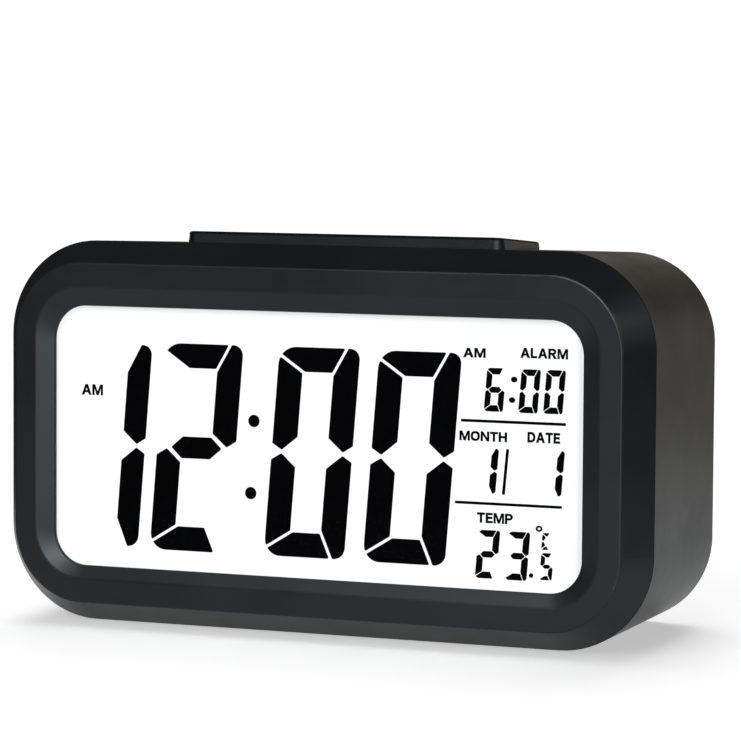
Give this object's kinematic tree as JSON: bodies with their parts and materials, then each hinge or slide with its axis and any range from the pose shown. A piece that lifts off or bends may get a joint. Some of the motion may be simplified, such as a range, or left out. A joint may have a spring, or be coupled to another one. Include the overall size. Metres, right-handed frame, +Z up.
{
  "type": "digital alarm clock",
  "caption": "Free-standing digital alarm clock: bevelled black case, large liquid-crystal window, wide snooze bar on top, keys, slide switch and battery hatch behind.",
  "frame": {"origin": "middle of the bounding box's bottom, on the plane of the four pads that the clock stands on", "axes": "+Z up, +X to the right as the clock is read, front and display towards -Y; the case leans back about 2.1 degrees"},
  "size_m": [0.135, 0.0478, 0.0769],
  "materials": {
    "case_plastic": "matte black moulded plastic with a fine spark texture",
    "bar_plastic": "satin black moulded plastic",
    "key_plastic": "satin black moulded plastic",
    "lens": "clear polished acrylic",
    "lcd_glass": "polished display glass",
    "white_acrylic": "milky light guide",
    "white_film": "white reflecting film",
    "white_plastic": "white moulded plastic",
    "elastomer": "layered conductive rubber",
    "led": "white light source with yellow phosphor",
    "board": "green solder-masked board",
    "epoxy": "black potting resin",
    "nickel": "nickel-plated steel",
    "can": "sleeved aluminium can",
    "screw_steel": "zinc-plated steel",
    "switch_body": "black switch housing",
    "inner_plastic": "black moulded plastic",
    "cell_can": "plain sleeved cell",
    "brass": "thin rolled brass",
    "piezo": "silvered ceramic disc",
    "wire_red": "red wire sleeve",
    "wire_black": "black wire sleeve",
    "ribbon": "grey flat cable",
    "pad_rubber": "black non-slip rubber"
  },
  "bodies": {
    "case": {"backlight_leds": "led", "base_pads": "pad_rubber", "battery_lead_black": "wire_black", "battery_lead_red": "wire_red", "board_screws": "screw_steel", "bracket_screws": "screw_steel", "button_board": "board", "capacitors": "can", "case_screws": "screw_steel", "cell_1": "cell_can", "cell_2": "cell_can", "cell_3": "cell_can", "chip_blob": "epoxy", "connector_strip": "elastomer", "contact_plates": "nickel", "contact_springs": "nickel", "display_lens": "lens", "front_bezel": "case_plastic", "key_switches": "switch_body", "lcd_frame": "white_plastic", "lcd_front_glass": "lcd_glass", "lcd_rear_glass": "lcd_glass", "light_guide": "white_acrylic", "main_pcb": "board", "pcb_screws": "screw_steel", "piezo_ceramic": "piezo", "piezo_plate": "brass", "quartz_crystal": "nickel", "rear_case": "case_plastic", "reflector_sheet": "white_film", "ribbon_cable": "ribbon", "slide_switch": "nickel", "snooze_board": "board", "snooze_bracket": "inner_plastic", "snooze_springs": "nickel", "snooze_switch": "switch_body", "sounder_lead_black": "wire_black", "sounder_lead_red": "wire_red", "thermistor": "epoxy"},
    "snooze": {"snooze_bar": "bar_plastic", "snooze_plunger": "key_plastic"},
    "key_set": {"button_set": "key_plastic", "plunger_set": "key_plastic"},
    "key_up": {"button_up": "key_plastic", "plunger_up": "key_plastic"},
    "key_down": {"button_down": "key_plastic", "plunger_down": "key_plastic"},
    "key_alarm": {"button_alarm": "key_plastic", "plunger_alarm": "key_plastic"},
    "alarm_switch": {"switch_knob": "key_plastic", "switch_lever": "switch_body"},
    "hatch": {"battery_cover": "case_plastic"}
  },
  "joints": [
    {"name": "snooze_press", "type": "slide", "parent": "case", "child": "snooze", "axis": [0, -0.0379, -0.9993], "range_m": [0, 0.001], "stiffness_N_per_m": 500, "springref_m": -0.002, "deforming": ["snooze_springs"]},
    {"name": "set_press", "type": "slide", "parent": "case", "child": "key_set", "axis": [0, -0.9993, 0.0379], "range_m": [0, 0.0007], "stiffness_N_per_m": 600, "springref_m": -0.0015},
    {"name": "up_press", "type": "slide", "parent": "case", "child": "key_up", "axis": [0, -0.9993, 0.0379], "range_m": [0, 0.0007], "stiffness_N_per_m": 600, "springref_m": -0.0015},
    {"name": "down_press", "type": "slide", "parent": "case", "child": "key_down", "axis": [0, -0.9993, 0.0379], "range_m": [0, 0.0007], "stiffness_N_per_m": 600, "springref_m": -0.0015},
    {"name": "alarm_press", "type": "slide", "parent": "case", "child": "key_alarm", "axis": [0, -0.9993, 0.0379], "range_m": [0, 0.0007], "stiffness_N_per_m": 600, "springref_m": -0.0015},
    {"name": "alarm_slide", "type": "slide", "parent": "case", "child": "alarm_switch", "axis": [1, 0, 0], "range_m": [0, 0.004]},
    {"name": "hatch_hinge", "type": "hinge", "parent": "case", "child": "hatch", "pos_m": [0, 0.02119, 0.0057], "axis": [-1, 0, 0], "range_deg": [0, 60]}
  ]
}
